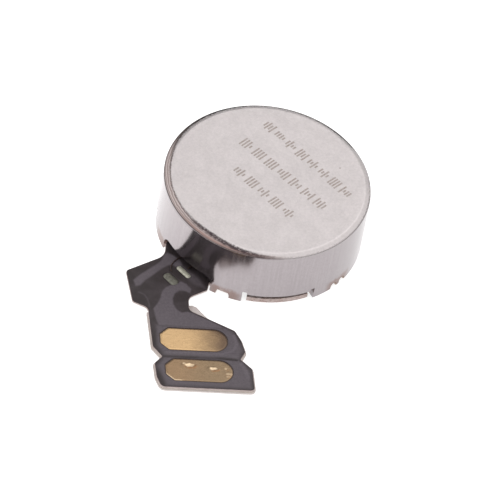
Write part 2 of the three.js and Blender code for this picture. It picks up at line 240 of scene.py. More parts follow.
# ---------- the can's steel
# sectors round the can, as middle angle, half width and softness of the ends, in degrees
FRONT = (-45.0, 66, 22)
BACK = (80.0, 76, 14)
# round the left the edge is darker and finely streaked
STREAKED_SIDE = (-168.0, 62, 20)
# painted reflection: the dark ring where the blasting stops is fainter round this side
PAINTED_RING_FAINT = (-168.0, 55, 25)
# painted reflection: the dark ring is widest and darkest in this sector
RAGGED = (-119.0, 24, 16)
HEATED = [(angle, 8, 3) for angle in (-43.6, 76.4, 196.4, -113.0, 7.0, 127.0)]
# how far out the blasted top reaches, in mm
BLASTED_ALL_ROUND = EDGE_START + 0.03
BLASTED_MORE_BEHIND = 0.10
BLASTED_AT_MOST = CAN_RADIUS - 0.045
# painted reflection lines under the streaked edge: drop below the top, half width, strength
PAINTED_FOOT_LINES = ((0.105, 0.040, 0.85), (0.19, 0.022, 0.45))
STREAKS_PER_MM = 210.0


class CanSteel(Material):
    """Bead-blasted on top, polished on the edge and the wall, with drawing marks up the wall."""

    def __init__(self):
        super().__init__("can_steel", (0.42, 0.385, 0.395), 0.16, 1.0)
        self.z = self.split(self.place)["Z"]
        self.heading = self.vector_math("NORMALIZE", self.flat()).outputs["Vector"]
        wander = self.times(self.minus(self.noise(7.0, 6.0, 0.8), 0.5), 0.16)
        self.ragged = self.plus(self.length(self.flat()), wander)
        self.near_top = self.above(0.2, 0.1)
        self.front_left_sector = self.towards(*RAGGED)
        # This mask picks the left side, where the edge is darker and finely streaked.
        self.worn = self.towards(*STREAKED_SIDE)
        self.marks = self.noise(5.0, 3.0, 0.6, self.stretch(2.2, 2.2, 0.12))

    def towards(self, angle, half, softness):
        """1 within half degrees of the angle round the can, fading to 0."""
        outside = cos(radians(half + softness))
        within = cos(radians(max(0.0, half - softness)))
        return self.spread(self.dot(self.heading, heading(angle)), outside, within)

    def above(self, low, high, *levels):
        """0 below the first drop under the can's top, 1 above the second, or the levels given."""
        return self.spread(self.z, CAN_HEIGHT - low, CAN_HEIGHT - high, *levels)

    def blasted_reach(self):
        behind = self.times(self.towards(*BACK), BLASTED_MORE_BEHIND)
        in_front = self.times(self.towards(*FRONT), BLASTED_AT_MOST - BLASTED_ALL_ROUND)
        everywhere = self.plus(BLASTED_ALL_ROUND, behind)
        return self.math("MINIMUM", BLASTED_AT_MOST, self.plus(everywhere, in_front))

    def blasted_colour(self):
        fine = self.spread(self.noise(9.0, 7.0, 0.9), 0.3, 0.7, 0.0, 0.75)
        broad = self.spread(self.noise(1.6, 4.0, 0.6), 0.35, 0.65, 0.0, 0.25)
        return self.mix(self.plus(fine, broad), (0.565, 0.53, 0.53), (0.72, 0.675, 0.675))

    def streaked_colour(self):
        wave = self.plus(self.times(self.z, STREAKS_PER_MM), self.times(self.noise(3.0, 4.0), 9.0))
        streaks = self.spread(self.math("SINE", wave), -0.6, 0.9)
        return self.mix(streaks, (0.30, 0.245, 0.235), (0.46, 0.405, 0.395))

    def painted_reflection_ring(self, reach):
        """Painted reflection: a dark ragged ring where the blasting stops."""
        away = self.math("ABSOLUTE", self.minus(self.ragged, reach))
        spotty = self.spread(self.noise(12.0, 5.0, 0.8), 0.34, 0.50, 0.3, 1.0)
        beside = self.times(self.towards(*PAINTED_RING_FAINT), 0.5)
        strength = self.times(self.math("MAXIMUM", self.times(self.front_left_sector, 0.95), beside), spotty)
        width = self.plus(0.04, self.times(self.front_left_sector, 0.085))
        line = self.spread(away, self.times(width, 0.3), width, 1.0, 0.0)
        return self.times(self.times(line, strength), self.near_top)

    def painted_reflection_lines(self):
        """Painted reflection: fine dark lines under the streaked edge."""
        found = 0.0
        for drop, half, level in PAINTED_FOOT_LINES:
            away = self.math("ABSOLUTE", self.minus(self.z, CAN_HEIGHT - drop))
            line = self.times(self.spread(away, 0.2 * half, half, level, 0.0), self.worn)
            found = self.math("MAXIMUM", found, line)
        return found

    def heat_tint(self):
        """Brown tint beside the cut-outs, where the plate is welded on."""
        found = 0.0
        for sector in HEATED:
            height = self.plus(self.z, self.times(self.noise(5.0, 4.0), 0.35))
            tint = self.times(self.towards(*sector), self.spread(height, 0.50, 0.72, 1.0, 0.0))
            found = self.math("MAXIMUM", found, tint)
        return found

    def finish(self):
        reach = self.blasted_reach()
        past = self.minus(self.ragged, reach)
        on_top = self.times(self.spread(past, -0.03, 0.02, 1.0, 0.0), self.near_top)
        beads = self.noise(13.0, 6.0, 0.85)
        grain = self.plus(self.times(self.marks, 0.45), self.times(self.noise(9.0, 6.0, 0.8), 0.55))
        wall = self.mix(self.spread(grain, 0.36, 0.64), (0.345, 0.312, 0.322), (0.385, 0.352, 0.362))
        on_edge = self.above(0.13, 0.10)
        edge = self.mix(self.worn, (0.40, 0.375, 0.375), self.streaked_colour())
        steel = self.mix(on_top, self.mix(on_edge, wall, edge), self.blasted_colour())
        # Painted shade: where the blasted top slopes down to the edge, it is darkened a little.
        slope = self.times(on_top, self.above(0.025, 0.002, 0.16, 0.0))
        steel = self.mix(slope, steel, (0.05, 0.045, 0.045))
        # Browner low on the edge in the front-left sector.
        on_edge_low = self.times(on_edge, self.above(0.06, 0.03, 1.0, 0.0))
        brown_low_edge = self.times(self.times(self.front_left_sector, on_edge_low), 0.75)
        steel = self.mix(brown_low_edge, steel, (0.26, 0.165, 0.145))
        # Painted reflection: a dark ragged ring where the blasting stops.
        steel = self.mix(self.painted_reflection_ring(reach), steel, (0.045, 0.032, 0.036))
        # Painted reflection: fine dark lines under the edge round the left.
        steel = self.mix(self.painted_reflection_lines(), steel, (0.10, 0.085, 0.085))
        self.colour(self.times(self.heat_tint(), 0.8), steel, (0.24, 0.165, 0.145))
        polished = self.spread(self.marks, 0.25, 0.75, 0.13, 0.19)
        blasted = self.spread(beads, 0.3, 0.7, 0.33, 0.43)
        self.set("Roughness", self.plus(polished, self.times(on_top, self.minus(blasted, polished))))
        self.bump(self.plus(self.times(beads, on_top), self.times(grain, 0.08)), 0.014, 0.5)
        return self.material


# ---------- other materials
def mottled(name, look, colours, noise, bump=None, span=None, **settings):
    """A plain material. look is roughness and metallic, noise drives the colour, span sharpens it."""
    m = Material(name, colours[1], *look)
    share = m.noise(*noise)
    m.colour(m.spread(share, *span) if span else share, *colours)
    if bump:
        (*grain, depth, strength) = bump
        m.bump(m.noise(*grain), depth, strength)
    for socket, value in settings.items():
        m.set(socket.replace("_", " "), value)
    return m.material


def cut_steel_material():
    """Raw edges of the punched cut-outs, browned by the heat of the welds."""
    return mottled("can_cut_edge", (0.42, 0.8), ((0.30, 0.21, 0.17), (0.58, 0.49, 0.45)),
                   (6.0, 4.0), (30.0, 3.0, 0.006, 0.6), (0.35, 0.7))


def mark_material():
    """Laser-browned steel, a little rougher than the top round it."""
    return mottled("laser_mark", (0.42, 1.0), ((0.33, 0.28, 0.255), (0.50, 0.45, 0.43)),
                   (16.0, 4.0, 0.7), span=(0.3, 0.7))


def liner_material():
    return mottled("liner", (0.32, 0.0), ((0.40, 0.35, 0.335), (0.70, 0.65, 0.63)),
                   (2.4, 4.0), (8.0, 3.0, 0.004, 0.5), Specular_IOR_Level=0.6)


def adhesive_material():
    return mottled("adhesive", (0.6, 0.0), ((0.46, 0.40, 0.35), (0.62, 0.57, 0.51)),
                   (4.0, 5.0), (18.0, 4.0, 0.005, 0.7))


def shaded_lead_material():
    # Painted shade: the leads' enamelled wire is made near black, far darker than the coil's, as they lie in the
    # can's shade.
    return mottled("enamelled_copper", (0.35, 0.0), ((0.022, 0.014, 0.012), (0.055, 0.030, 0.022)),
                   (8.0, 3.0))


def rubber_material():
    return mottled("damper_rubber", (0.75, 0.0), ((0.022, 0.022, 0.024), (0.05, 0.048, 0.048)),
                   (7.0, 5.0), (26.0, 4.0, 0.008, 0.6))


def plate_material():
    """Clean steel, browned and rubbed out at the tabs."""
    m = Material("plate_steel", (0.66, 0.58, 0.54), 0.3, 1.0)
    radius = m.length(m.flat())
    heat = m.plus(m.spread(radius, 3.2, 3.85), m.times(m.noise(3.0, 4.0), 0.6))
    rubbed = m.noise(7.0, 4.0, 0.6, m.stretch(1.0, 1.0, 4.0))
    tint = m.mix(m.spread(rubbed, 0.35, 0.65), (0.30, 0.215, 0.19), (0.48, 0.395, 0.375))
    clean = m.mix(m.spread(m.noise(9.0, 5.0, 0.7), 0.3, 0.7), (0.6, 0.57, 0.56), (0.68, 0.65, 0.64))
    m.colour(m.spread(heat, 0.85, 1.35), clean, tint)
    m.set("Roughness", m.spread(rubbed, 0.3, 0.7, 0.24, 0.42))
    m.set("Metallic", m.spread(radius, 3.70, 3.80, 1.0, 0.45))
    m.bump(m.noise(24.0, 4.0), 0.004, 0.5)
    return m.material


def coverlay_material():
    """Black-brown coverlay, lighter where copper lies under it. The copper attribute also holds a painted sheen,
    a painted lighter patch and painted shade.
    """
    m = Material("coverlay", (0.04, 0.034, 0.038), 0.46)
    m.set("Specular IOR Level", 0.3)
    # The copper attribute also carries painted sheen, painted light and painted shade on the tail.
    copper = m.attribute("copper")
    grain = m.spread(m.noise(11.0, 7.0, 0.85), 0.3, 0.7)
    cloud = m.spread(m.noise(1.3, 4.0), 0.35, 0.65)
    bare = m.mix(cloud, (0.031, 0.024, 0.025), (0.050, 0.040, 0.044))
    over = m.mix(grain, (0.094, 0.080, 0.093), (0.138, 0.119, 0.134))
    m.colour(copper, bare, over)
    m.set("Roughness", m.plus(m.times(copper, 0.12), m.spread(grain, 0.0, 1.0, 0.34, 0.46)))
    dust = m.spread(m.cells(5.5), 0.0, 0.16, 1.0, 0.0)
    m.bump(m.plus(grain, m.times(dust, 0.6)), 0.004, 0.7)
    return m.material


def film_material():
    """Dark film, pale along its cut edge."""
    m = Material("polyimide", (0.5, 0.42, 0.4), 0.35)
    pale = m.mix(m.noise(3.0, 4.0), (0.30, 0.225, 0.21), (0.56, 0.48, 0.47))
    m.colour(m.attribute("rim"), (0.05, 0.030, 0.022), pale)
    m.bump(m.noise(12.0, 4.0), 0.003, 0.5)
    return m.material


def gold_material(name, bright, worn, start, end, mottle):
    """Gold plating over brushed copper, going from the first colour to the second across the pad: a painted
    reflection, with the gold a little tarnished.
    """
    m = Material(name, bright, 0.3, 1.0)
    brushed = m.noise(5.0, 4.0, 0.6, m.stretch(0.6, 7.0, 1.0))
    speckle = m.noise(14.0, 6.0, 0.8)
    along = m.plus(m.split(m.place)["X"], m.times(m.noise(1.6, 3.0), 0.7))
    # Painted reflection, from one end of the pad to the other.
    painted_reflection_and_tarnish = m.mix(m.spread(along, start, end), bright, worn)
    dull = tuple(c * 0.62 for c in worn)
    plating = m.mix(m.spread(speckle, 0.5, 0.75, 0.0, mottle), painted_reflection_and_tarnish, dull)
    # Painted shade: brown beside and below each dent.
    plating = m.mix(m.attribute("dent_shade"), plating, (0.30, 0.15, 0.07))
    # Bright where the probes rubbed the pad, with painted glints on the dents and a painted highlight along the
    # pad's lower left edge.
    m.colour(m.attribute("rubbed"), plating, (0.92, 0.73, 0.50))
    m.set("Roughness", m.spread(m.plus(brushed, speckle), 0.7, 1.3, 0.24, 0.44))
    m.bump(m.plus(brushed, m.times(speckle, 0.6)), 0.004, 0.6)
    return m.material


def solder_material(name, level):
    m = Material(name, (0.2, 0.2, 0.17), 0.42, 0.35)
    grain = m.noise(12.0, 5.0, 0.7)
    # level is painted light: it scales the tin's colour, lighter on the inner joint by the can's wall, darker on
    # the outer one.
    dark, light = [tuple(c * level for c in tin) for tin in ((0.14, 0.138, 0.112), (0.26, 0.256, 0.214))]
    m.colour(m.spread(grain, 0.3, 0.7), dark, light)
    m.set("Roughness", m.spread(grain, 0.3, 0.7, 0.34, 0.52))
    m.bump(m.cells(14.0), 0.006, 0.5)
    return m.material


def winding_material():
    m = Material("winding", (0.55, 0.24, 0.11), 0.32, 0.7)
    m.set("Coat Weight", 0.5)
    m.colour(m.noise(3.0, 4.0, 0.6, m.stretch(1, 1, 8)), (0.48, 0.19, 0.08), (0.66, 0.31, 0.15))
    return m.material


def metal_material(name, dark, light, roughness, scale=6.0, stretch=(1.0, 1.0, 1.0)):
    m = Material(name, light, roughness, 1.0)
    grain = m.noise(scale, 5.0, 0.65, m.stretch(*stretch))
    m.colour(m.spread(grain, 0.3, 0.7), dark, light)
    m.set("Roughness", m.spread(grain, 0.3, 0.7, roughness * 0.8, roughness * 1.2))
    m.bump(grain, 0.005, 0.5)
    return m.material


def floor_material():
    """White, glowing a little more towards the left of the picture."""
    m = Material("white_table", (0.55, 0.55, 0.55), 0.7)
    m.set("Emission Color", (1.0, 1.0, 1.0, 1.0))
    leftwards = m.dot(m.place, turned_by_camera((-1, 0, 0)))
    m.set("Emission Strength", m.spread(leftwards, -2.0, 7.0, 0.72, 1.05))
    m.set("Specular IOR Level", 0.1)
    return m.material


# ---------- mesh helpers, in mm
SHARP = radians(32)


def make_object(name, points, faces, material):
    mesh = bpy.data.meshes.new(name)
    mesh.from_pydata([tuple(p) for p in points], [], [tuple(f) for f in faces])
    return object_of(name, mesh, material)


def object_of(name, mesh, material):
    mesh.transform(Matrix.Scale(MM, 4))
    mesh.validate()
    mesh.polygons.foreach_set("use_smooth", [True] * len(mesh.polygons))
    mesh.set_sharp_from_angle(angle=SHARP)
    mesh.materials.append(material)
    piece = bpy.data.objects.new(name, mesh)
    bpy.context.scene.collection.objects.link(piece)
    return piece


def corner_curve(start, corner, end, steps):
    """A round corner from start to end, pulled towards the sharp corner."""
    shares = [k / steps for k in range(steps + 1)]
    return [start * (1 - t) ** 2 + corner * 2 * t * (1 - t) + end * t * t for t in shares]


def softened(profile, radius):
    """Rounds each corner of a closed lathe profile that is off the axis."""
    result = []
    for i, corner in enumerate(profile):
        here = Vector(corner)
        if here.x == 0:
            result.append(here)
            continue
        back = Vector(profile[i - 1]) - here
        ahead = Vector(profile[(i + 1) % len(profile)]) - here
        reach = min(radius, back.length * 0.45, ahead.length * 0.45)
        start = here + back.normalized() * reach
        end = here + ahead.normalized() * reach
        result += corner_curve(start, here, end, 3)
    return result


def lathe_mesh(profile, segments=96):
    """Points and faces of a closed profile of (radius, z), turned round the Z axis."""
    points, rings, faces = [], [], []
    for radius, z in profile:
        if radius < 1e-6:
            rings.append([len(points)] * segments)
            points.append((0, 0, z))
            continue
        rings.append(list(range(len(points), len(points) + segments)))
        for k in range(segments):
            angle = 2 * pi * k / segments
            points.append((radius * cos(angle), radius * sin(angle), z))
    for i, low in enumerate(rings):
        high = rings[(i + 1) % len(rings)]
        for k in range(segments):
            n = (k + 1) % segments
            corners = list(dict.fromkeys((low[k], low[n], high[n], high[k])))
            if len(corners) > 2:
                faces.append(corners)
    return points, faces


def lathe(name, profile, material, segments=96):
    points, faces = lathe_mesh(profile, segments)
    return make_object(name, points, faces, material)


def catmull(points, steps):
    """A smooth curve through the points."""
    padded = [points[0], *points, points[-1]]
    curve = []
    for a, b, c, d in zip(padded, padded[1:], padded[2:], padded[3:]):
        for k in range(steps):
            t = k / steps
            curve.append(0.5 * (2 * b + (c - a) * t + (2 * a - 5 * b + 4 * c - d) * t * t
                                + (3 * b - a - 3 * c + d) * t ** 3))
    return [*curve, points[-1]]


def tube(name, route, radius, material, sides=12):
    """A round wire along a list of points, closed by rounded ends."""
    up = Vector((0, 0, 1))
    points, faces = [], []
    count = len(route)
    for i, here in enumerate(route):
        ahead = (route[min(i + 1, count - 1)] - route[max(i - 1, 0)]).normalized()
        side = ahead.cross(up).normalized()
        rise = side.cross(ahead)
        from_end = min(i, count - 1 - i)
        size = radius * (0.55, 0.9)[from_end] if from_end < 2 else radius
        for k in range(sides):
            angle = 2 * pi * k / sides
            points.append(here + (side * cos(angle) + rise * sin(angle)) * size)
        if i:
            for k in range(sides):
                n = (k + 1) % sides
                low, high = (i - 1) * sides, i * sides
                faces.append((low + k, low + n, high + n, high + k))
    faces.append(tuple(range(sides))[::-1])
    faces.append(tuple(range((count - 1) * sides, count * sides)))
    return make_object(name, points, faces, material)


# ---------- flat sheets with relief, in mm
def outlines(node):
    """The loops round the top face of a flat CAD node, longest first, anticlockwise as [x, y]."""
    bm = bmesh.new()
    bm.from_mesh(frame["nodes"][node].data)
    bmesh.ops.remove_doubles(bm, verts=bm.verts, dist=1e-7)
    high = max(v.co.z for v in bm.verts)
    top = {f for f in bm.faces if all(abs(v.co.z - high) < 2e-6 for v in f.verts)}
    following = {}
    for face in top:
        for loop in face.loops:
            if not any(other in top for other in loop.edge.link_faces if other is not face):
                following[loop.vert.index] = loop.link_loop_next.vert.index
    bm.verts.ensure_lookup_table()
    loops = []
    while following:
        start = next(iter(following))
        loop, here = [], start
        while here in following:
            loop.append(np.array(bm.verts[here].co[:2]) / MM)
            here = following.pop(here)
        loops.append(np.array(loop))
    bm.free()
    length = lambda loop: np.linalg.norm(np.roll(loop, -1, 0) - loop, axis=1).sum()
    return sorted(loops, key=length, reverse=True)


def joined_at_bend(root, tail):
    """One outline from the two on each side of the bend line, whose cut edges face each other."""
    def opened(loop):
        before = np.roll(loop, 1, 0)
        level = (np.abs(loop[:, 1] - HINGE_Y) < 0.02) & (np.abs(before[:, 1] - HINGE_Y) < 0.02)
        first = int(np.argmax(np.abs(loop[:, 0] - before[:, 0]) * level))
        return np.roll(loop, -first, 0)
    return np.concatenate([opened(root), opened(tail)])


def signed_area(loop):
    ahead = np.roll(loop, -1, 0)
    return 0.5 * np.sum(loop[:, 0] * ahead[:, 1] - ahead[:, 0] * loop[:, 1])


def offset(loop, margin):
    """The loop with each edge moved outwards by the margin."""
    ahead = np.roll(loop, -1, 0) - loop
    normals = np.stack([ahead[:, 1], -ahead[:, 0]], 1) * np.sign(signed_area(loop))
    normals /= np.linalg.norm(normals, axis=1, keepdims=True)
    before = np.roll(normals, 1, 0)
    middle = before + normals
    middle /= np.linalg.norm(middle, axis=1, keepdims=True)
    share = np.maximum(0.6, np.sum(middle * normals, 1))
    return loop + middle * (margin / share)[:, None]


def resampled(loop, spacing):
    """The loop with its long edges divided and its crowded points dropped."""
    kept = [loop[0]]
    for point in loop[1:]:
        if np.linalg.norm(point - kept[-1]) > 0.2 * spacing:
            kept.append(point)
    result = []
    for a, b in zip(kept, kept[1:] + kept[:1]):
        steps = max(1, round(np.linalg.norm(b - a) / spacing))
        result += [a + (b - a) * k / steps for k in range(steps)]
    return np.array(result)


def inside(points, loop):
    x, y = points[:, 0], points[:, 1]
    result = np.zeros(len(points), bool)
    for (x1, y1), (x2, y2) in zip(loop, np.roll(loop, -1, 0)):
        crosses = (y1 > y) != (y2 > y)
        at = x1 + (y - y1) * (x2 - x1) / (y2 - y1 if y2 != y1 else 1e-12)
        result ^= crosses & (x < at)
    return result


def between_loops(points, loops):
    """True inside the first loop and outside all the others."""
    result = inside(points, loops[0])
    for hole in loops[1:]:
        result &= ~inside(points, hole)
    return result


def distance_to(points, path, closed=True):
    """Distance from each point to a path of straight stretches."""
    ends = np.roll(path, -1, 0) if closed else path[1:]
    nearest = np.full(len(points), 1e9)
    for a, b in zip(path, ends):
        along = b - a
        t = np.clip(((points - a) @ along) / max(along @ along, 1e-12), 0, 1)
        nearest = np.minimum(nearest, np.linalg.norm(points - a - t[:, None] * along, axis=1))
    return nearest


def smooth(t):
    t = np.clip(t, 0, 1)
    return t * t * (3 - 2 * t)


def triangulated(loops, spacing, guides=()):
    """Even triangles that fill the first loop and leave out the others."""
    low, high = loops[0].min(0), loops[0].max(0)
    row = spacing * sqrt(0.75)
    grid = np.array([
        (x + (0.5 * spacing if k % 2 else 0), y)
        for k, y in enumerate(np.arange(low[1], high[1], row))
        for x in np.arange(low[0], high[0], spacing)
    ])
    keep = between_loops(grid, loops)
    for path in (*loops, *guides):
        keep &= distance_to(grid, path) > 0.55 * spacing
    points, edges = [], []
    for path in (*loops, *guides):
        start = len(points)
        points += [Vector(p) for p in path]
        edges += [(start + i, start + (i + 1) % len(path)) for i in range(len(path))]
    points += [Vector(p) for p in grid[keep]]
    found, _, triangles, *_ = delaunay_2d_cdt(points, edges, [], 0, 1e-7)
    found = np.array([tuple(p) for p in found])
    triangles = np.array(triangles)
    return found, triangles[between_loops(found[triangles].mean(1), loops)]


def sheet(name, loops, bottom, top, spacing, material, relief=None, marks=None, guides=()):
    """A flat piece between two heights. relief(points, edge distance) raises its top surface, and each of
    marks, by name, is worked out the same way and kept as an attribute for the material."""
    loops = [resampled(loop, spacing) for loop in loops]
    guides = [resampled(path, spacing) for path in guides]
    flat, triangles = triangulated(loops, spacing, guides)
    used = np.unique(triangles)
    renumbered = np.full(len(flat), -1)
    renumbered[used] = np.arange(len(used))
    flat, triangles = flat[used], renumbered[triangles]
    edge = np.min([distance_to(flat, loop) for loop in loops], axis=0)
    lift = relief(flat, edge) if relief else np.zeros(len(flat))
    count = len(flat)
    upper = np.column_stack([flat, top + lift])
    lower = np.column_stack([flat, np.full(count, bottom)])
    seen = {}
    for a, b, c in triangles.tolist():
        for pair in ((a, b), (b, c), (c, a)):
            seen[pair] = True
    rim = [(a, b) for a, b in seen if (b, a) not in seen]
    faces = [tuple(t) for t in triangles.tolist()]
    faces += [(a + count, c + count, b + count) for a, b, c in triangles.tolist()]
    faces += [(b, a, a + count, b + count) for a, b in rim]
    piece = make_object(name, np.concatenate([upper, lower]), faces, material)
    for mark, share in (marks or {}).items():
        values = np.concatenate([share(flat, edge)] * 2).astype(np.float32)
        attribute = piece.data.attributes.new(mark, "FLOAT", "POINT")
        attribute.data.foreach_set("value", values)
    return piece


def wavy(points, scale, seed):
    """Smooth noise from -1 to 1 over flat points, with waves about scale mm long."""
    return np.array([noise.noise(Vector((x / scale, y / scale, seed))) for x, y in points])


# ---------- can
def can_profile():
    """Outside and inside of the drawn can."""
    edge = edge_profile()
    inside_radius = CAN_RADIUS - WALL
    rim = 0.02
    profile = [(0, CAN_HEIGHT), (1.9, CAN_HEIGHT), (EDGE_START - 0.1, CAN_HEIGHT), *edge]
    below = edge[-1][1]
    profile += [(CAN_RADIUS, z) for z in np.linspace(below - 0.02, 0.8, 8)]
    profile += [(CAN_RADIUS, rim), (CAN_RADIUS - rim, 0), (inside_radius + rim, 0), (inside_radius, rim)]
    ceiling = CAN_HEIGHT - WALL
    profile += [(inside_radius, ceiling - 0.08), (inside_radius - 0.08, ceiling), (0, ceiling)]
    return profile


def sector_block(middle, width, top):
    """Points and faces of a curved block through the can's wall, from below the rim up to the top."""
    steps = max(2, round(width / 1.25))
    points, faces = [], []
    for k in range(steps + 1):
        angle = radians(middle - width / 2 + width * k / steps)
        for radius in (CAN_RADIUS - WALL - 0.3, CAN_RADIUS + 0.3):
            for z in (-1.0, top):
                points.append((radius * cos(angle), radius * sin(angle), z))
    for k in range(steps):
        a, b = 4 * k, 4 * k + 4
        faces += [(a, a + 1, b + 1, b), (a + 2, b + 2, b + 3, a + 3)]
        faces += [(a, b, b + 2, a + 2), (a + 1, a + 3, b + 3, b + 1)]
    last = 4 * steps
    faces += [(0, 2, 3, 1), (last, last + 1, last + 3, last + 2)]
    return points, faces


def radial_prism(outline, angle):
    """Points and faces of an outline of (across, z), pushed through the wall along a radius."""
    along = heading(angle)
    across = Vector((-along.y, along.x, 0))
    points = []
    for radius in (CAN_RADIUS - WALL - 0.6, CAN_RADIUS + 0.6):
        points += [along * radius + across * v + Vector((0, 0, z)) for v, z in outline]
    count = len(outline)
    faces = [tuple(range(count)), tuple(range(2 * count - 1, count - 1, -1))]
    for k in range(count):
        n = (k + 1) % count
        faces.append((k, k + count, n + count, n))
    return points, faces


def arch_outline(radius, steps=16):
    arc = [pi * k / steps for k in range(steps + 1)]
    over = [(radius * cos(t), ARCH_RISE + radius * sin(t)) for t in arc]
    return [(radius, -1.0), *over, (-radius, -1.0)]


def slot_outline(steps=10):
    outline = [(SLOT_HALF_WIDTH, -1.0)]
    for side in (1, -1):
        for k in range(steps + 1):
            turn = pi / 2 * (k / steps if side == 1 else 1 - k / steps)
            outline.append((side * (SLOT_HALF_WIDTH - SLOT_CORNER + SLOT_CORNER * cos(turn)),
                            SLOT_HEIGHT - SLOT_CORNER + SLOT_CORNER * sin(turn)))
    return [*outline, (-SLOT_HALF_WIDTH, -1.0)]


def merged(parts):
    points, faces = [], []
    for some_points, some_faces in parts:
        start = len(points)
        points += [Vector(p) for p in some_points]
        faces += [tuple(start + i for i in face) for face in some_faces]
    return points, faces


def scratch_object(points, faces):
    mesh = bpy.data.meshes.new("scratch")
    mesh.from_pydata([tuple(p) for p in points], [], faces)
    bm = bmesh.new()
    bm.from_mesh(mesh)
    bmesh.ops.recalc_face_normals(bm, faces=bm.faces)
    bm.to_mesh(mesh)
    bm.free()
    piece = bpy.data.objects.new("scratch", mesh)
    bpy.context.scene.collection.objects.link(piece)
    return piece


def cut_by(mesh_parts, cutters):
    """The first solid with each set of cutters taken away, as a mesh in mm."""
    body = scratch_object(*mesh_parts)
    tools = [scratch_object(*merged(group)) for group in cutters]
    for tool in tools:
        cut = body.modifiers.new("cut", "BOOLEAN")
        cut.operation = "DIFFERENCE"
        cut.solver = "EXACT"
        cut.object = tool
    bpy.context.view_layer.update()
    evaluated = body.evaluated_get(bpy.context.evaluated_depsgraph_get())
    mesh = bpy.data.meshes.new_from_object(evaluated)
    for piece in (body, *tools):
        bpy.data.objects.remove(piece)
    return mesh


def by_arch(point):
    round_can = degrees(atan2(point.y, point.x))
    return any(abs((round_can - angle + 180) % 360 - 180) < ARCH_REACH for angle, _ in ARCHES)


def make_can(wall, edge):
    """The drawn can with its openings. Faces inside the arches have the cut edges' material."""
    openings = [sector_block(angle, RECESS_WIDTH, RECESS_HEIGHT) for angle in TAB_ANGLES]
    openings += [radial_prism(arch_outline(radius), angle) for angle, radius in ARCHES]
    openings.append(radial_prism(slot_outline(), SLOT_ANGLE))
    half = (RECESS_WIDTH - RELIEF_WIDTH) / 2
    reliefs = [sector_block(angle + side * half, RELIEF_WIDTH, RELIEF_HEIGHT)
               for angle in TAB_ANGLES for side in (-1, 1)]
    mesh = cut_by(lathe_mesh(can_profile(), 288), [openings, reliefs])
    piece = object_of("can_shell", mesh, wall)
    mesh.materials.append(edge)
    for face in mesh.polygons:
        middle = face.center / MM
        radial = Vector((middle.x, middle.y, 0)).normalized()
        low = middle.z < SLOT_HEIGHT + 0.01 and middle.xy.length > CAN_RADIUS - WALL - 0.01
        if low and by_arch(middle) and abs(face.normal.dot(radial)) < 0.6:
            face.material_index = 1
    return piece


# ---------- mark on the top
MARK_ROWS = (
    # start of the row, end of the row, number of groups
    ((-1.28, 0.59), (0.90, -1.91), 5),
    ((-0.92, 2.07), (2.17, -1.36), 7),
    ((0.03, 3.03), (3.18, -0.67), 8),
)
MARK_HEIGHT = 0.46
MARK_STROKE = 0.072
BARS_IN_GROUP = 4
BAR_HEIGHTS = (1.0, 1.0, 0.6, 0.35)
SPECK = (2.85, 0.81)
MARK_PROUD = 0.0015


def make_mark(material):
    """Three rows of plain bars of mixed heights and one speck, burnt into the top: no lettering."""
    draw = random.Random(5)
    points, faces = [], []

    def block(centre, along, across, length, width):
        start = len(points)
        for z in (CAN_HEIGHT - 0.01, CAN_HEIGHT + MARK_PROUD):
            for a, b in ((-1, -1), (1, -1), (1, 1), (-1, 1)):
                p = centre + along * (a * length / 2) + across * (b * width / 2)
                points.append((p.x, p.y, z))
        for face in ((3, 2, 1, 0), (4, 5, 6, 7), (0, 1, 5, 4), (1, 2, 6, 5), (2, 3, 7, 6), (3, 0, 4, 7)):
            faces.append(tuple(start + i for i in face))

    for start, end, groups in MARK_ROWS:
        start, end = Vector(start), Vector(end)
        along = (end - start).normalized()
        across = Vector((-along.y, along.x))
        pitch = (end - start).length / groups
        for g in range(groups):
            left = start + along * (pitch * (g + 0.1))
            for k in range(BARS_IN_GROUP):
                centre = left + along * (pitch * 0.8 * (k + 0.5) / BARS_IN_GROUP)
                height = MARK_HEIGHT * draw.choice(BAR_HEIGHTS)
                block(centre, along, across, MARK_STROKE, height)
    block(Vector(SPECK), Vector((1, 0)), Vector((0, 1)), 0.06, 0.05)
    return make_object("laser_mark", points, faces, material)


# ---------- base plate
PLATE_RADIUS = 3.78
TAB_RADIUS = 3.89
TAB_WIDTH = 36.0
NOTCH_RADIUS = 3.46
NOTCH_WIDTH = 3.0


def make_base_plate(material):
    """A stamped disc with three tabs, its edges slightly rounded."""
    half_tab = TAB_WIDTH / 2
    notch_end = half_tab + NOTCH_WIDTH
    radii = (NOTCH_RADIUS, TAB_RADIUS, NOTCH_RADIUS, PLATE_RADIUS)
    outline = []
    for tab, following in zip(TAB_ANGLES, (*TAB_ANGLES[1:], TAB_ANGLES[0] + 360)):
        ends = [tab + turn for turn in (-notch_end, -half_tab, half_tab, notch_end)]
        for radius, start, end in zip(radii, ends, (*ends[1:], following - notch_end)):
            outline += [(radius, angle) for angle in np.linspace(start, end, max(4, round(end - start)))]
    layers = [(0, 0.02), (0.006, 0.006), (0.02, 0),
              (PLATE_TOP - 0.03, 0), (PLATE_TOP - 0.009, 0.009), (PLATE_TOP, 0.03)]
    points, faces = [], []
    count = len(outline)
    for z, inset in layers:
        for radius, angle in outline:
            r = radius - inset
            points.append((r * cos(radians(angle)), r * sin(radians(angle)), z))
    around = [(i, (i + 1) % count) for i in range(count)]
    for low in range(0, count * (len(layers) - 1), count):
        faces += [(low + i, low + n, low + count + n, low + count + i) for i, n in around]
    top = count * (len(layers) - 1)
    below, above = len(points), len(points) + 1
    points += [(0, 0, 0), (0, 0, PLATE_TOP)]
    faces += [(n, i, below) for i, n in around]
    faces += [(top + i, top + n, above) for i, n in around]
    return make_object("base_plate_stamped", points, faces, material)


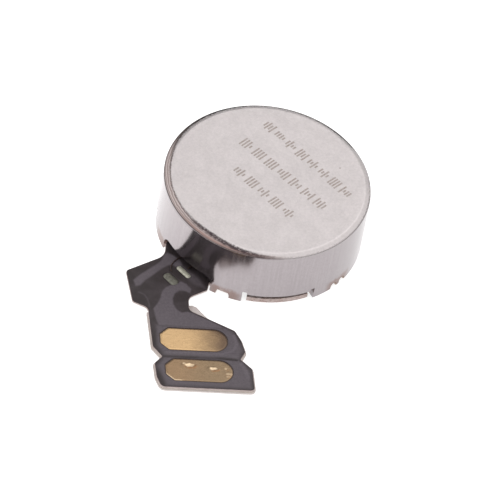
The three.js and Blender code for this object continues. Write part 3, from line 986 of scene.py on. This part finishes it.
# ---------- flexible circuit
# Copper under the coverlay: solid areas drawn corner by corner, then thin runs, then a dark run where the share
# drops to nothing. The area along the can's wall is painted light, the first run is a painted sheen, and the dark
# run is painted shade in the crease between the pads.
UPPER_TRACE = (
    (-5.06, -3.36), (-4.77, -3.05), (-4.44, -2.76), (-4.16, -2.53), (-3.90, -2.26), (-3.80, -1.98),
    (-3.66, -1.86), (-3.42, -2.00), (-3.22, -2.20), (-3.12, -2.42), (-3.20, -2.60), (-3.33, -2.60),
    (-3.47, -2.50), (-3.67, -2.51), (-3.87, -2.65), (-4.05, -2.82), (-4.34, -3.10), (-4.59, -3.32),
    (-4.80, -3.60), (-4.98, -3.66),
)
LOWER_TRACE = (
    (-3.36, -3.40), (-3.62, -3.53), (-3.82, -3.65), (-3.97, -3.86), (-4.05, -4.18), (-4.17, -4.48),
    (-4.36, -4.78), (-4.28, -5.30), (-4.20, -5.62), (-1.62, -5.62), (-1.42, -5.76), (-2.20, -5.28),
    (-2.86, -4.92), (-3.05, -4.86), (-3.28, -4.92), (-3.48, -4.74), (-3.58, -4.49), (-3.58, -4.20),
    (-3.50, -3.96), (-3.30, -3.78), (-3.06, -3.80), (-2.90, -3.90), (-2.84, -3.69), (-3.02, -3.43),
    (-3.21, -3.31),
)
TAIL_PLANE = (
    (-4.30, -5.62), (-4.30, -6.66), (-4.06, -7.17), (-4.34, -7.66), (-4.05, -8.64), (-0.78, -8.64),
    (-0.82, -7.72), (-1.21, -7.18), (-1.05, -6.70), (-1.35, -5.80), (-1.60, -5.62),
)
# Painted light: a lighter patch on the coverlay along the can's wall, where the wall shades the flex.
PAINTED_LIGHT_BY_WALL = (
    (-3.80, -1.98), (-3.66, -1.86), (-3.00, -2.60), (-2.50, -3.10), (-2.30, -3.60), (-2.62, -3.50),
    (-3.00, -3.10), (-3.20, -2.75),
)
# outline, level, softness of the edge
COPPER_AND_PAINTED_LIGHT_AREAS = (
    (UPPER_TRACE, 0.9, 0.05), (LOWER_TRACE, 0.88, 0.04), (TAIL_PLANE, 0.78, 0.12), (PAINTED_LIGHT_BY_WALL, 0.5, 0.12),
)
# route, half width, level
COPPER_AND_SHEEN_RUNS = (
    # Painted sheen: this run lights the ridge under the upper pad and its right side.
    (((-3.95, -6.98), (-3.20, -6.96), (-1.80, -6.94), (-1.42, -6.78), (-1.24, -6.40), (-1.34, -5.98)),
     0.075, 1.0),
    (((-4.88, -3.97), (-4.69, -4.06), (-4.58, -4.25), (-4.53, -4.47), (-4.51, -4.66)), 0.022, 0.45),
    (((-1.15, -7.40), (-0.98, -7.75), (-0.92, -8.10)), 0.10, 0.95),
)
# Painted shade: a dark run along the crease between the pads.
PAINTED_CREASE_SHADE = (((-4.12, -7.17), (-3.20, -7.17), (-1.90, -7.16), (-1.30, -7.20)), 0.06)
COPPER_RISE = 0.012
# the ridge below the upper pad and the crease between the pads: y, half width, height
TAIL_FOLDS = ((-6.96, 0.06, 0.022), (-7.18, 0.07, -0.014))
COVERLAY_INSET = 0.022
SHEET_SPACING = 0.09
WINDOW_MARGIN = 0.032


def past_route(points, route, half, softness):
    """0 within half a width of a route, 1 away from it."""
    away = distance_to(points, np.array(route), closed=False)
    return smooth((away - half + softness) / (2 * softness))


def copper_and_painted_light(points):
    """1 where thick copper lies under the coverlay, 0 where none does. It also holds a painted sheen along the
    tail's ridge and beside the upper pad, a painted lighter patch along the can's wall, and painted shade along
    the crease between the pads.
    """
    share = np.zeros(len(points))
    for area, level, softness in COPPER_AND_PAINTED_LIGHT_AREAS:
        outline = np.array(area)
        depth = distance_to(points, outline) * np.where(inside(points, outline), 1, -1)
        share = np.maximum(share, level * smooth((depth + softness) / (2 * softness)))
    for route, half, level in COPPER_AND_SHEEN_RUNS:
        share = np.maximum(share, level * (1 - past_route(points, route, half, 0.04)))
    # Painted shade in the crease between the pads.
    return share * past_route(points, *PAINTED_CREASE_SHADE, 0.05)


def coverlay_relief(points, edge):
    """Copper shows as a low rise, the edges roll over, and the tail is creased between its pads."""
    lift = COPPER_RISE * (copper_and_painted_light(points) - 1)
    lift -= 0.012 * (1 - smooth(edge / 0.05))
    lift += 0.004 * wavy(points, 0.5, 3.0)
    for y, half, height in TAIL_FOLDS:
        lift += height * np.exp(-(((points[:, 1] - y) / half) ** 2))
    return lift


def make_flex(film, coverlay):
    root_film = outlines("flex_root_film")[0]
    tail_film = outlines("tail_film")[0]
    whole = joined_at_bend(root_film, tail_film)
    solder_windows = outlines("flex_root_coverlay")[1:]
    contact_windows = [offset(rounded_loop(loop), WINDOW_MARGIN) for loop in outlines("tail_coverlay")[1:]]
    base = sheet("flex_film", [whole], FILM_BOTTOM, FILM_TOP, SHEET_SPACING, film,
                 guides=[offset(resampled(whole, SHEET_SPACING), -0.05)],
                 marks={"rim": lambda points, edge: 1 - smooth((edge - 0.02) / 0.03)})
    cover_outline = offset(resampled(whole, 0.05), -COVERLAY_INSET)
    cover = sheet("flex_coverlay", [cover_outline, *solder_windows, *contact_windows], FILM_TOP, FLEX_TOP,
                  0.04, coverlay, coverlay_relief, {"copper": lambda points, edge: copper_and_painted_light(points)})
    return base, cover


# marks left by test probes: middle, half length, half width, how bright
PROBE_DENTS = (
    (-3.33, -7.50, 0.07, 0.045, 0.7),
    (-3.12, -7.58, 0.22, 0.10, 0.9),
    (-2.22, -7.71, 0.17, 0.08, 0.85),
    (-1.62, -7.95, 0.16, 0.06, 0.35),
    (-1.72, -7.68, 0.07, 0.07, 0.35),
    (-1.66, -8.08, 0.10, 0.03, 0.35),
)
PAD_ROUNDING = (0.05, 0.20)


def from_dent(points, dent):
    x, y, along, across, _ = dent
    warp = 0.35 * wavy(points, 0.09, x)
    return np.hypot((points[:, 0] - x) / along, (points[:, 1] - y) / across) + warp


def pad_relief(dents):
    def relief(points, edge):
        lift = -0.014 * (1 - smooth(edge / 0.035)) + 0.0015 * wavy(points, 0.25, 7.0)
        for dent in dents:
            away = from_dent(points, dent)
            raised = 0.010 * np.exp(-((away - 1.1) / 0.3) ** 2)
            lift += dent[4] * (raised - 0.012 * np.exp(-(away / 0.8) ** 2))
        return lift
    return relief


def rubbed_and_painted_highlight(dents):
    def share(points, edge):
        # The dents are bright where the probes rubbed them, with painted glints.
        bright = np.zeros(len(points))
        for dent in dents:
            bright = np.maximum(bright, dent[4] * smooth((1.05 - from_dent(points, dent)) / 0.4))
        # Painted highlight along the pad's lower left edge.
        low_left = smooth((-7.9 - points[:, 1]) / 0.3) * smooth((-3.3 - points[:, 0]) / 0.3) if dents else 0
        return np.maximum(bright, 0.8 * low_left * (1 - smooth((edge - 0.015) / 0.03)))
    return share


def painted_dent_shade(dents):
    # Painted shade: brown round each dent, moved down and to the right of it.
    def share(points, edge):
        brown = np.zeros(len(points))
        for dent in dents:
            below = np.array((0.05, -0.06))
            brown = np.maximum(brown, 0.8 * dent[4] * smooth((1.3 - from_dent(points - below, dent)) / 0.5))
        return brown
    return share


def rounded_loop(loop):
    """The loop with its corners rounded: a small radius in its left half and a large one in its right."""
    middle = (loop[:, 0].min() + loop[:, 0].max()) / 2
    result = []
    for i, here in enumerate(loop):
        back = loop[i - 1] - here
        ahead = loop[(i + 1) % len(loop)] - here
        longest = np.linalg.norm(back), np.linalg.norm(ahead)
        reach = min(PAD_ROUNDING[int(here[0] > middle)], 0.48 * longest[0], 0.48 * longest[1])
        result += corner_curve(here + back / longest[0] * reach, here, here + ahead / longest[1] * reach, 5)
    return np.array(result)


def make_contact_pad(letter, material, dents):
    loop = rounded_loop(outlines(f"contact_pad_{letter}")[0])
    rim = offset(resampled(loop, 0.035), -0.035)
    return sheet(f"gold_pad_{letter}", [loop], FILM_TOP, PAD_TOP, 0.03, material, pad_relief(dents),
                 {"rubbed": rubbed_and_painted_highlight(dents), "dent_shade": painted_dent_shade(dents)}, guides=[rim])


def make_solder(place, material):
    """A pad with its solder on it, as one low mound with a wavy foot."""
    loop = outlines(f"solder_pad_{place}")[0]
    low, high = box_mm(f"solder_joint_{place}")
    rise = high.z - low.z
    half = 0.15

    def relief(points, edge):
        return rise * np.sqrt(1 - (1 - np.clip(edge / half, 0, 1)) ** 2) + 0.003 * wavy(points, 0.12, 2.0)

    return sheet(f"solder_{place}", [loop], FILM_TOP, low.z, 0.03, material, relief)


SLOT_ALONG = heading(SLOT_ANGLE)
SLOT_ACROSS = Vector((-SLOT_ALONG.y, SLOT_ALONG.x, 0))
LEADS = {
    "coil_lead_a": ((2.304, 0.2), (2.9, 0.3), (3.6, 0.22), (3.98, 0.26)),
    "coil_lead_b": ((2.304, -0.2), (3.0, -0.34), (3.9, -0.36), (4.35, -0.26), (4.58, -0.02)),
}


def make_lead(node, material):
    low, high = box_mm(node)
    height = (low.z + high.z) / 2
    radius = (high.z - low.z) / 2
    route = [SLOT_ALONG * u + SLOT_ACROSS * v + Vector((0, 0, height)) for u, v in LEADS[node]]
    return tube(f"{node}_wire", catmull(route, 10), radius, material)


# where the liner shows past the film's edge, beside the waist on the side by the can, going up the tail
LINER_EDGE = (
    (-1.98, -5.38), (-2.31, -4.97), (-2.52, -4.70), (-2.66, -4.49), (-2.83, -4.40), (-3.00, -4.43),
    (-3.06, -4.86),
)


def make_tape(node, material):
    low, high = box_mm(node)
    loop = outlines(node)[0]
    if node == "tail_liner":
        beside = (loop[:, 0] > LINER_EDGE[-1][0]) & (loop[:, 1] > LINER_EDGE[0][1])
        first = next(i for i in range(len(loop)) if beside[i] and not beside[i - 1])
        rolled = np.roll(loop, -first, 0)
        loop = np.concatenate([np.array(LINER_EDGE), rolled[~np.roll(beside, -first)]])
    return sheet(f"{node}_strip", [loop], low.z, high.z, SHEET_SPACING, material)


# ---------- inside the can
COIL_INNER = 1.62
WIRE = 0.045
WIRE_BULGE = (0.35, 0.85, 1.0, 0.85, 0.35)


def make_winding(material):
    """The voice coil: rings of round wire on every side of the bundle."""
    low, high = box_mm("voice_coil")
    outer = high.x
    rows = round((high.z - low.z) / WIRE)
    columns = round((outer - COIL_INNER) / WIRE)
    tall = (high.z - low.z) / rows
    wide = (outer - COIL_INNER) / columns
    profile = []

    def side(count, point):
        for k in range(count):
            for j, bulge in enumerate(WIRE_BULGE):
                profile.append(point(k + (j + 0.5) / len(WIRE_BULGE), WIRE / 2 * (1 - bulge)))

    side(rows, lambda turns, dip: (outer - dip, low.z + tall * turns))
    side(columns, lambda turns, dip: (outer - wide * turns, high.z - dip))
    side(rows, lambda turns, dip: (COIL_INNER + dip, high.z - tall * turns))
    side(columns, lambda turns, dip: (COIL_INNER + wide * turns, low.z + dip))
    return lathe("coil_winding", profile, material, 72)


def turned_piece(name, node, material, soft, inner=0.0):
    """A disc or ring that fills its CAD node, with rounded edges."""
    low, high = box_mm(node)
    profile = [(inner, low.z), (high.x, low.z), (high.x, high.z), (inner, high.z)]
    return lathe(name, softened(profile, soft), material)


SKIRT_INNER = 2.37
WEIGHT_INNER = 2.58


def make_yoke(material):
    """A cup over the magnet, with a skirt round the coil."""
    low, high = box_mm("yoke")
    roof = box_mm("magnet")[1].z
    profile = [(0, roof), (SKIRT_INNER, roof), (SKIRT_INNER, low.z)]
    profile += [(high.x, low.z), (high.x, high.z), (0, high.z)]
    return lathe("yoke_cup", softened(profile, 0.05), material)


def make_spring(material):
    """The leaf spring's own CAD mesh, copied into a piece of its own."""
    mesh = frame["nodes"]["leaf_spring"].data.copy()
    mesh.materials.clear()
    mesh.materials.append(material)
    piece = bpy.data.objects.new("leaf_spring_strip", mesh)
    bpy.context.scene.collection.objects.link(piece)
    return piece


# ---------- assembly
def place(piece, body, slot, *nodes):
    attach(piece, body)
    if nodes:
        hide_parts(*nodes)


def place_bending(piece, slot, *nodes):
    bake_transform(piece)
    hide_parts(*nodes)


def carry_over(node, material):
    """Shows a CAD node itself, in the material."""
    mesh = frame["nodes"][node].data
    mesh.materials.clear()
    mesh.materials.append(material)


def build():
    place(make_can(CanSteel().finish(), cut_steel_material()), "stator", "can_steel", "can")
    place(make_mark(mark_material()), "stator", "can_steel")
    place(make_base_plate(plate_material()), "stator", "plate_steel", "base_plate")

    film, cover = make_flex(film_material(), coverlay_material())
    place_bending(film, "polyimide", "flex_root_film", "tail_film")
    place_bending(cover, "coverlay", "flex_root_coverlay", "tail_coverlay")
    adhesive = adhesive_material()
    place_bending(make_tape("tail_adhesive", adhesive), "adhesive", "tail_adhesive")
    place_bending(make_tape("tail_liner", liner_material()), "liner", "tail_liner")
    carry_over("flex_bond", adhesive)

    # Painted reflection: pad A's gold runs from bright to dark across the pad.
    bright = gold_material("gold_bright", (0.66, 0.45, 0.24), (0.18, 0.125, 0.088), -2.85, -1.25, 0.3)
    worn = gold_material("gold_worn", (0.335, 0.225, 0.135), (0.30, 0.215, 0.135), -3.4, -1.8, 0.6)
    place(make_contact_pad("a", bright, ()), "flex_tail", "gold_plating", "contact_pad_a")
    place(make_contact_pad("b", worn, PROBE_DENTS), "flex_tail", "gold_plating", "contact_pad_b")
    # Painted light: the inner joint's tin is made lighter where the can shades it, the outer one a little darker.
    for where, level in (("inner", 2.1), ("outer", 0.75)):
        tin = solder_material(f"tin_{where}", level)
        place(make_solder(where, tin), "stator", "tin", f"solder_pad_{where}", f"solder_joint_{where}")
    wire = shaded_lead_material()
    for node in LEADS:
        place(make_lead(node, wire), "stator", "enamelled_copper", node)

    iron = metal_material("soft_iron", (0.42, 0.42, 0.43), (0.56, 0.56, 0.57), 0.34)
    nickel = metal_material("nickel_plate", (0.6, 0.59, 0.57), (0.72, 0.71, 0.69), 0.16, 3.0)
    tungsten = metal_material("tungsten_alloy", (0.24, 0.24, 0.25), (0.36, 0.36, 0.37), 0.5, 9.0)
    strip = metal_material("spring_steel", (0.56, 0.54, 0.5), (0.68, 0.66, 0.62), 0.26, 5.0, (1, 9, 1))
    rubber = rubber_material()
    place(make_winding(winding_material()), "stator", "enamelled_copper", "voice_coil")
    for node in ("lower_damper", "upper_damper"):
        place(turned_piece(f"{node}_disc", node, rubber, 0.04), "stator", "damper_rubber", node)
    place(make_yoke(iron), "mover", "soft_iron", "yoke")
    place(turned_piece("magnet_disc", "magnet", nickel, 0.06), "mover", "nickel_plate", "magnet")
    place(turned_piece("pole_disc", "pole_plate", iron, 0.03), "mover", "soft_iron", "pole_plate")
    weight = turned_piece("weight_ring", "mass_ring", tungsten, 0.1, WEIGHT_INNER)
    place(weight, "mover", "tungsten_alloy", "mass_ring")
    place(turned_piece("clamp_disc", "spring_clamp", strip, 0.02), "mover", "spring_steel", "spring_clamp")
    spring = make_spring(strip)
    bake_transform(spring)
    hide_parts("leaf_spring")


# ---------- stage
def turned_by_camera(vector):
    return Matrix.Rotation(-CAMERA_TURN, 3, "Z") @ Vector(vector)


def make_camera():
    """Looks down at the part from beyond the tail, rolled a little, through a long lens."""
    cos_e, sin_e = cos(CAMERA_ELEVATION), sin(CAMERA_ELEVATION)
    forward = Vector((0, cos_e, -sin_e))
    level = Vector((1, 0, 0))
    above = Vector((0, sin_e, cos_e))
    right = level * cos(CAMERA_ROLL) + above * sin(CAMERA_ROLL)
    up = above * cos(CAMERA_ROLL) - level * sin(CAMERA_ROLL)
    spot = (right * -OFF_CENTRE[0] + up * OFF_CENTRE[1]) / PIXELS_PER_MM - forward * CAMERA_DISTANCE
    axes = [turned_by_camera(v) for v in (right, up, -forward)]
    camera = bpy.data.cameras.new("camera")
    camera.sensor_width = SENSOR
    camera.lens = PIXELS_PER_MM * CAMERA_DISTANCE / FRAME_SIDE * SENSOR
    camera.clip_start = 0.01
    camera.clip_end = 10.0
    holder = bpy.data.objects.new("camera", camera)
    turn = Matrix(axes).transposed().to_4x4()
    holder.matrix_world = Matrix.Translation(turned_by_camera(spot) * MM) @ turn
    bpy.context.scene.collection.objects.link(holder)
    bpy.context.scene.camera = holder


def make_floor():
    """A white table just under the base plate."""
    half = 1200.0
    points = [(x * half, y * half, -0.002) for x, y in ((-1, -1), (1, -1), (1, 1), (-1, 1))]
    make_object("table", points, [(0, 1, 2, 3)], floor_material())


def make_softbox(name, azimuth, elevation, distance, size, power):
    """An area light aimed at the part. Azimuth 0 is to the camera's right, and 90 is behind the part."""
    a, e = radians(azimuth), radians(elevation)
    towards = turned_by_camera((cos(a) * cos(e), sin(a) * cos(e), sin(e)))
    light = bpy.data.lights.new(name, "AREA")
    light.shape = "RECTANGLE"
    light.size, light.size_y = size
    light.energy = power
    holder = bpy.data.objects.new(name, light)
    holder.location = towards * distance
    holder.rotation_euler = towards.to_track_quat("Z", "Y").to_euler()
    bpy.context.scene.collection.objects.link(holder)


# Brightness of the tent. Heights are the sine of the elevation, angles are in degrees round the horizon.
TENT_LEVEL = 1.2
OVERHEAD = (0.86, 0.97)
OVERHEAD_EXTRA = 0.12
HORIZON = (0.14, 0.44)
HORIZON_LEVEL = 0.14
GAP_AZIMUTH = 108
GAP_HALF = 11
GAP_SOFTNESS = 3
GAP_TOP = (0.92, 0.97)
GAP_DEPTH = 0.74


def make_world():
    """A bright tent with a dark strip along the horizon and a dark gap between two of its panels."""
    world = bpy.data.worlds.new("studio")
    world.use_nodes = True
    bpy.context.scene.world = world
    n = Nodes(world.node_tree)
    x, y, z = n.split(n.node("TexCoord").outputs["Generated"])
    level = n.math("SQRT", n.math("MAXIMUM", n.minus(1.0, n.times(z, z)), 0.0001))
    towards = turned_by_camera(heading(GAP_AZIMUTH))
    across = n.plus(n.times(x, towards.x), n.times(y, towards.y))
    outside = cos(radians(GAP_HALF + GAP_SOFTNESS))
    within = cos(radians(GAP_HALF - GAP_SOFTNESS))
    gap = n.times(n.spread(n.math("DIVIDE", across, level), outside, within, 0.0, GAP_DEPTH),
                  n.spread(z, *GAP_TOP, 1.0, 0.0))
    sky = n.spread(z, *HORIZON, HORIZON_LEVEL, TENT_LEVEL)
    overhead = n.spread(z, *OVERHEAD, 0.0, OVERHEAD_EXTRA)
    background = n.tree.nodes["Background"]
    n.feed(background.inputs["Strength"], n.times(n.plus(sky, overhead), n.minus(1.0, gap)))
    background.inputs["Color"].default_value = (1.0, 0.985, 0.98, 1.0)


def stage():
    make_camera()
    make_floor()
    make_world()
    make_softbox("back_box", 80, 55, 0.5, (0.34, 0.28), 0.06)
    make_softbox("left_box", 165, 38, 0.5, (0.3, 0.2), 0.04)
    make_softbox("front_box", 222, 34, 0.5, (0.16, 0.16), 0.12)
    view = bpy.context.scene.view_settings
    view.view_transform = "Standard"
    view.look = "None"


build()
stage()
